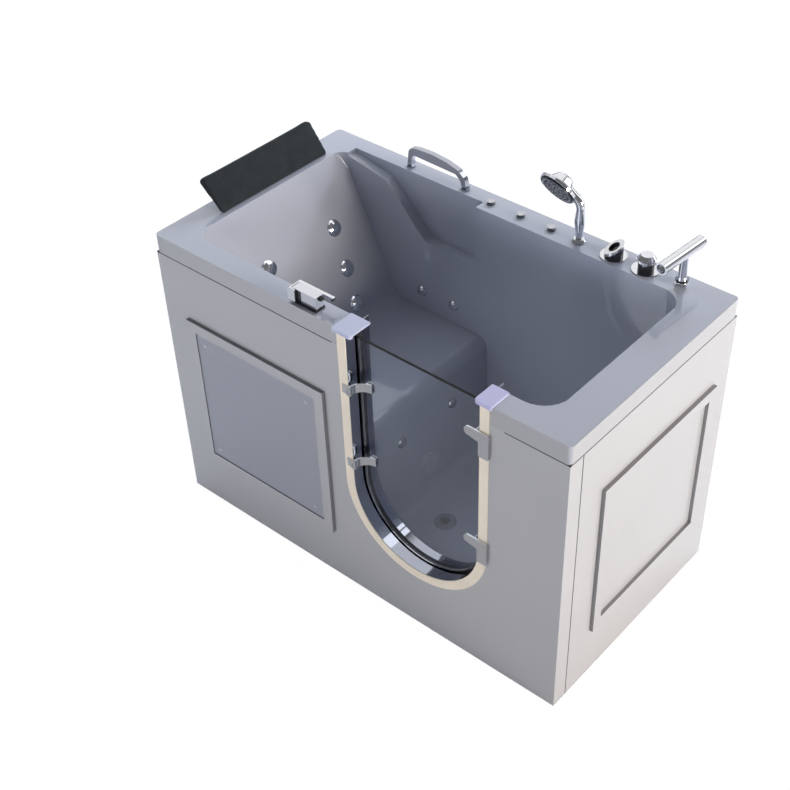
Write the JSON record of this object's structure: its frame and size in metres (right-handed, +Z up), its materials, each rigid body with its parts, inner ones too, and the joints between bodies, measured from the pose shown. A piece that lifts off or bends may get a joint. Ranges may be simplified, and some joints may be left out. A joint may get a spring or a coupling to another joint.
{
  "type": "walk-in bathtub with door",
  "caption": "Deep seated bathtub entered through an outward-opening glass door, with water jets, air buttons, hand shower, mixer, spout, drain lever, headrest and grab handle.",
  "frame": {"origin": "on the floor, at the centre of the 1500 mm by 800 mm footprint, under the middle levelling foot", "axes": "+X runs from the headrest end to the tap end, the door faces -Y, +Z is up"},
  "size_m": [1.522, 0.8431, 1.2174],
  "materials": {
    "tub_acrylic": "moulded white acrylic, high gloss",
    "skirt_acrylic": "white acrylic sheet, high gloss",
    "access_acrylic": "blue-grey acrylic sheet, satin gloss",
    "screw_steel": "stainless screw heads",
    "flange_enamel": "cream powder coat over steel",
    "reveal_steel": "mirror-polished stainless steel",
    "seal_rubber": "black extruded seal",
    "cap_left_metal": "satin cast cap",
    "cap_right_metal": "satin cast cap with a violet reflection",
    "hinge_steel": "satin stainless steel",
    "door_glass_slot": "clear tempered glass",
    "latch_steel": "polished stainless steel",
    "headrest_foam": "dark grey soft polyurethane skin",
    "bracket_steel": "satin stainless steel",
    "fitting_chrome": "polished chrome plate",
    "button_chrome": "satin chrome cap",
    "shower_nozzles": "dark nozzle plate with soft tips",
    "jet_plastic": "pale moulded jets",
    "frame_steel": "zinc-grey painted tube",
    "feet_plastic": "black moulded feet on steel stems",
    "pump_plastic": "black glass-filled pump casing",
    "motor_paint": "blue-grey painted motor casing",
    "blower_plastic": "dark moulded casing",
    "pipe_plastic": "white rigid plastic pipe",
    "air_pipe_plastic": "grey plastic pipe",
    "valve_brass": "cast brass, as machined",
    "feed_steel": "stainless feed pipe"
  },
  "bodies": {
    "tub": {"tub_shell": "tub_acrylic", "front_panel": "skirt_acrylic", "right_end_panel": "skirt_acrylic", "left_end_panel": "skirt_acrylic", "front_trim_frame": "skirt_acrylic", "right_trim_frame": "skirt_acrylic", "left_trim_frame": "skirt_acrylic", "access_panel": "access_acrylic", "access_screws": "screw_steel", "door_flange": "flange_enamel", "door_reveal": "reveal_steel", "door_gasket": "seal_rubber", "rim_cap_left": "cap_left_metal", "rim_cap_right": "cap_right_metal", "hinge_leaves": "hinge_steel", "hinge_pins": "hinge_steel", "headrest": "headrest_foam", "headrest_brackets": "bracket_steel", "grab_handle": "fitting_chrome", "button_sleeves": "fitting_chrome", "shower_ferrule": "fitting_chrome", "diverter_base": "fitting_chrome", "mixer_base": "fitting_chrome", "spout_base": "fitting_chrome", "lever_base": "fitting_chrome", "backrest_jets": "jet_plastic", "side_jets": "jet_plastic", "riser_jets": "jet_plastic", "suction_grille": "jet_plastic", "overflow_cover": "fitting_chrome", "drain_strainer": "fitting_chrome", "frame_legs": "frame_steel", "frame_rails": "frame_steel", "frame_cross_members": "frame_steel", "frame_posts": "frame_steel", "levelling_feet": "feet_plastic", "pump_body": "pump_plastic", "pump_motor": "motor_paint", "air_blower": "blower_plastic", "pressure_pipes": "pipe_plastic", "suction_pipe": "pipe_plastic", "air_pipes": "air_pipe_plastic", "drain_pipe": "pipe_plastic", "supply_manifold": "valve_brass", "feed_pipes": "feed_steel"},
    "door": {"door_glass": "door_glass_slot", "hinge_straps": "hinge_steel", "hinge_clamps": "hinge_steel"},
    "latch_upper": {"latch_upper": "latch_steel"},
    "latch_lower": {"latch_lower": "latch_steel"},
    "air_button_1": {"air_button_1": "button_chrome"},
    "air_button_2": {"air_button_2": "button_chrome"},
    "air_button_3": {"air_button_3": "button_chrome"},
    "hand_shower": {"hand_shower": "fitting_chrome", "shower_face": "shower_nozzles"},
    "diverter": {"diverter_handle": "fitting_chrome"},
    "mixer": {"mixer_knob": "fitting_chrome"},
    "spout": {"spout": "fitting_chrome"},
    "drain_lever": {"drain_lever": "fitting_chrome"}
  },
  "joints": [
    {"name": "door_hinge", "type": "hinge", "parent": "tub", "child": "door", "pos_m": [0.013, -0.404, 0.672], "axis": [0, 0, -1], "range_deg": [0, 110]},
    {"name": "latch_upper_turn", "type": "hinge", "parent": "door", "child": "latch_upper", "pos_m": [0.449, -0.405, 0.898], "axis": [0, 1, 0], "range_deg": [0, 90]},
    {"name": "latch_lower_turn", "type": "hinge", "parent": "door", "child": "latch_lower", "pos_m": [0.449, -0.405, 0.502], "axis": [0, 1, 0], "range_deg": [0, 90]},
    {"name": "air_button_1_push", "type": "slide", "parent": "tub", "child": "air_button_1", "axis": [0, 0, -1], "range_m": [0, 0.004], "stiffness_N_per_m": 300, "springref_m": -0.003},
    {"name": "air_button_2_push", "type": "slide", "parent": "tub", "child": "air_button_2", "axis": [0, 0, -1], "range_m": [0, 0.004], "stiffness_N_per_m": 300, "springref_m": -0.003},
    {"name": "air_button_3_push", "type": "slide", "parent": "tub", "child": "air_button_3", "axis": [0, 0, -1], "range_m": [0, 0.004], "stiffness_N_per_m": 300, "springref_m": -0.003},
    {"name": "hand_shower_lift", "type": "slide", "parent": "tub", "child": "hand_shower", "axis": [0, 0, 1], "range_m": [0, 0.25]},
    {"name": "diverter_turn", "type": "hinge", "parent": "tub", "child": "diverter", "pos_m": [0.362, 0.352, 1.03], "axis": [0, 0, 1], "range_deg": [-90, 90]},
    {"name": "mixer_turn", "type": "hinge", "parent": "tub", "child": "mixer", "pos_m": [0.472, 0.352, 1.03], "axis": [0, 0, 1], "range_deg": [-90, 90]},
    {"name": "spout_swivel", "type": "hinge", "parent": "tub", "child": "spout", "pos_m": [0.59, 0.352, 1.05], "axis": [0, 0, 1], "range_deg": [-60, 20]},
    {"name": "drain_lever_pull", "type": "hinge", "parent": "tub", "child": "drain_lever", "pos_m": [-0.15, -0.347, 1.047], "axis": [0, 1, 0], "range_deg": [0, 20]}
  ]
}
